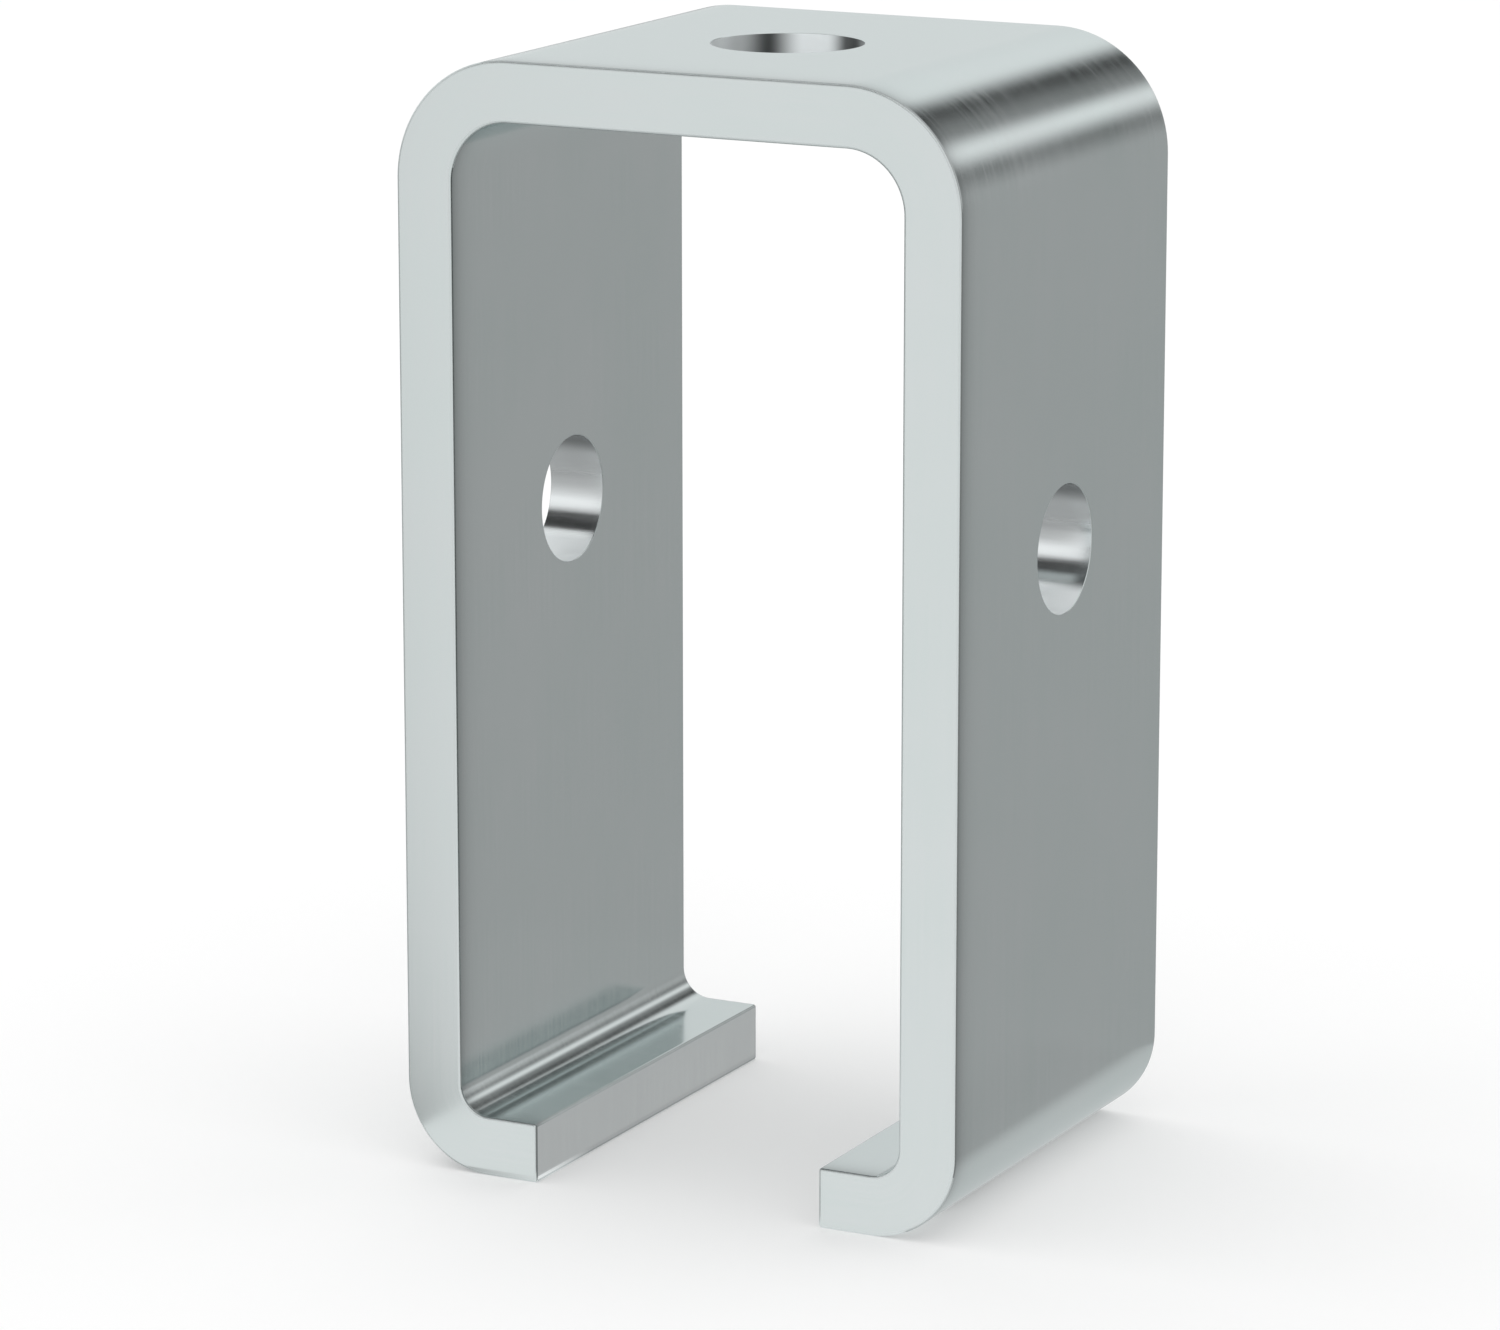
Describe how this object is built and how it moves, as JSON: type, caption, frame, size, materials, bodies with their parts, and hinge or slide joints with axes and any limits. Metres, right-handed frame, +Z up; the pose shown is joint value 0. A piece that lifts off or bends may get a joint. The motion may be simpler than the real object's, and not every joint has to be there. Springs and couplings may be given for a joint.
{
  "type": "strut channel hanger bracket",
  "caption": "Flat bar bent to an open-bottomed box that hangs a strut channel from a rod: holed top plate, drilled legs and in-turned lips.",
  "frame": {"origin": "Centre of the bracket's footprint, on the level of the underside of the two lips.", "axes": "+Z up along the hanger rod's axis; +X across the legs, along the cross bolt's axis; +Y along the channel that passes through. In the picture the camera stands on the -Y side, to the +X side of it."},
  "size_m": [0.0636, 0.0508, 0.1175],
  "materials": {
    "zinc_plated_steel": "bright zinc plate over rolled flat bar, satin"
  },
  "bodies": {
    "root": {"hanger_bracket": "zinc_plated_steel"}
  },
  "joints": []
}
